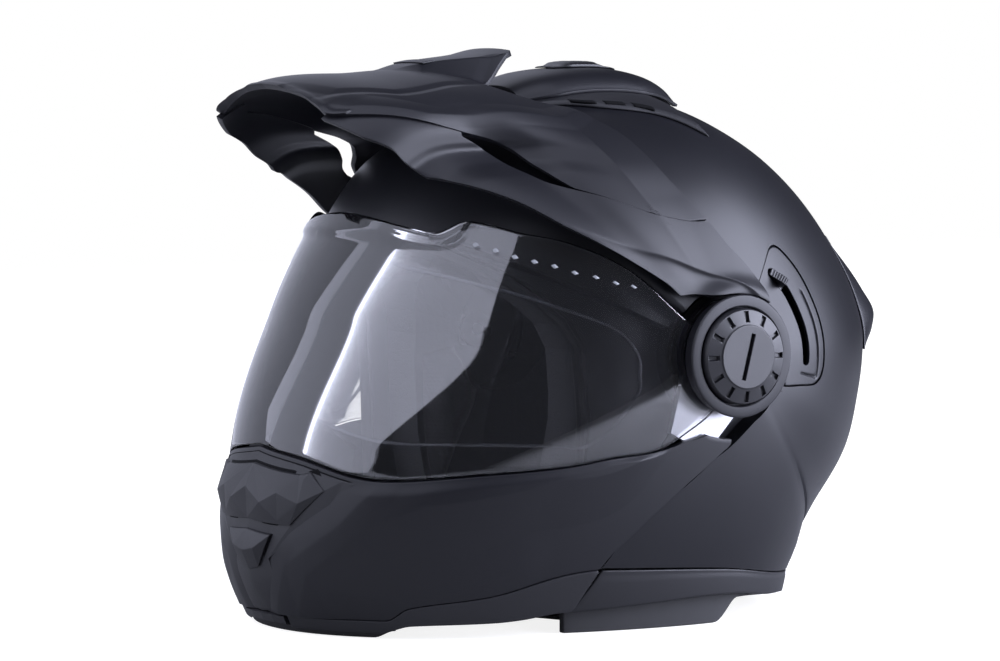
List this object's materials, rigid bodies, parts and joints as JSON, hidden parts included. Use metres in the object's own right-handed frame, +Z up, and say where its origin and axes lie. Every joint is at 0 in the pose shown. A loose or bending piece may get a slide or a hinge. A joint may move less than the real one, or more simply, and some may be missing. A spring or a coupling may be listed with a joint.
{
  "type": "modular adventure helmet",
  "caption": "Full-face helmet with a lifting chin bar, clear visor, drop-down sun visor, crown vent and a screwed-on sun peak.",
  "frame": {"origin": "middle of the bounding box in plan, on the plane that the lower edge stands on", "axes": "front of the helmet along -Y, wearer's left along +X, up along +Z"},
  "size_m": [0.272, 0.3416, 0.2705],
  "materials": {
    "shell": "matte paint over a moulded shell",
    "peak": "matte",
    "trim": "matte",
    "dial": "matte",
    "arm_metal": "dark satin",
    "visor_clear": "clear, hard coated",
    "sun_tint": "smoke tint",
    "rubber": "matte",
    "foam": "black expanded foam",
    "lining": "brushed knit",
    "webbing": "woven",
    "steel": "polished"
  },
  "bodies": {
    "shell": {"outer_shell": "shell", "eps_liner": "foam", "crown_pad": "lining", "cheek_pad_left": "lining", "cheek_pad_right": "lining", "neck_roll": "lining", "base_trim": "trim", "base_bead": "rubber", "eye_seal": "rubber", "vent_base": "trim", "vent_cover": "trim", "rear_spoiler": "shell", "pivot_plate_left": "trim", "pivot_plate_right": "trim", "lever_plate_left": "trim", "lever_plate_right": "trim", "sun_pin_left": "arm_metal", "sun_pin_right": "arm_metal", "strap_left": "webbing", "strap_right": "webbing", "buckle_base": "steel", "buckle_tongue": "steel", "strap_rivets": "steel"},
    "chin_bar": {"chin_bar": "shell", "chin_liner": "foam", "chin_trim": "trim", "chin_bead": "rubber", "vent_panel": "trim", "chin_arm_left": "arm_metal", "chin_arm_right": "arm_metal", "breath_guard": "rubber"},
    "peak": {"peak_cover": "peak", "peak_side_left": "peak", "peak_side_right": "peak"},
    "visor": {"visor": "visor_clear", "visor_insert": "visor_clear", "visor_hub_left": "visor_clear", "visor_hub_right": "visor_clear"},
    "sun_visor": {"sun_visor": "sun_tint"},
    "sun_lever": {"sun_lever": "trim"},
    "vent_slider": {"vent_slider": "trim"},
    "upper_shutter": {"upper_shutter": "trim"},
    "lower_shutter": {"lower_shutter": "trim"},
    "release_button": {"release_button": "trim"},
    "dial_left": {"peak_dial_left": "dial"},
    "dial_right": {"peak_dial_right": "dial"},
    "buckle_lever": {"buckle_lever": "steel"}
  },
  "joints": [
    {"name": "chin_bar_lift", "type": "hinge", "parent": "shell", "child": "chin_bar", "pos_m": [0, 0.0208, 0.128], "axis": [-1, 0, 0], "range_deg": [0, 65]},
    {"name": "peak_swing", "type": "hinge", "parent": "shell", "child": "peak", "pos_m": [0, 0.0208, 0.128], "axis": [-1, 0, 0], "range_deg": [0, 65]},
    {"name": "visor_lift", "type": "hinge", "parent": "chin_bar", "child": "visor", "pos_m": [0, 0.0208, 0.128], "axis": [-1, 0, 0], "range_deg": [0, 21]},
    {"name": "sun_lever_turn", "type": "hinge", "parent": "shell", "child": "sun_lever", "pos_m": [0, 0.0208, 0.128], "axis": [-1, 0, 0], "range_deg": [0, 48]},
    {"name": "sun_visor_swing", "type": "hinge", "parent": "shell", "child": "sun_visor", "pos_m": [0, 0.0208, 0.128], "axis": [-1, 0, 0], "range_deg": [-38.4, 0]},
    {"name": "vent_slide", "type": "hinge", "parent": "shell", "child": "vent_slider", "pos_m": [0, 0.0208, 0.128], "axis": [-1, 0, 0], "range_deg": [0, 4]},
    {"name": "upper_shutter_slide", "type": "slide", "parent": "chin_bar", "child": "upper_shutter", "axis": [0, -0.0645, -0.9979], "range_m": [0, 0.004]},
    {"name": "lower_shutter_slide", "type": "slide", "parent": "chin_bar", "child": "lower_shutter", "axis": [0, 0.17, -0.9854], "range_m": [0, 0.003]},
    {"name": "release_press", "type": "slide", "parent": "chin_bar", "child": "release_button", "axis": [0, 1, 0], "range_m": [0, 0.0025], "stiffness_N_per_m": 400},
    {"name": "dial_left_turn", "type": "hinge", "parent": "shell", "child": "dial_left", "pos_m": [0, 0.0208, 0.128], "axis": [1, 0, 0], "range_deg": [0, 90]},
    {"name": "dial_right_turn", "type": "hinge", "parent": "shell", "child": "dial_right", "pos_m": [0, 0.0208, 0.128], "axis": [-1, 0, 0], "range_deg": [0, 90]},
    {"name": "buckle_open", "type": "hinge", "parent": "shell", "child": "buckle_lever", "pos_m": [0.065, -0.0452, 0.0109], "axis": [0, 1, 0], "range_deg": [0, 35], "stiffness_Nm_per_rad": 0.02}
  ],
  "couplings": [
    {"joint": "peak_swing", "follows": "chin_bar_lift", "ratio": 1},
    {"joint": "sun_visor_swing", "follows": "sun_lever_turn", "ratio": -0.8}
  ]
}
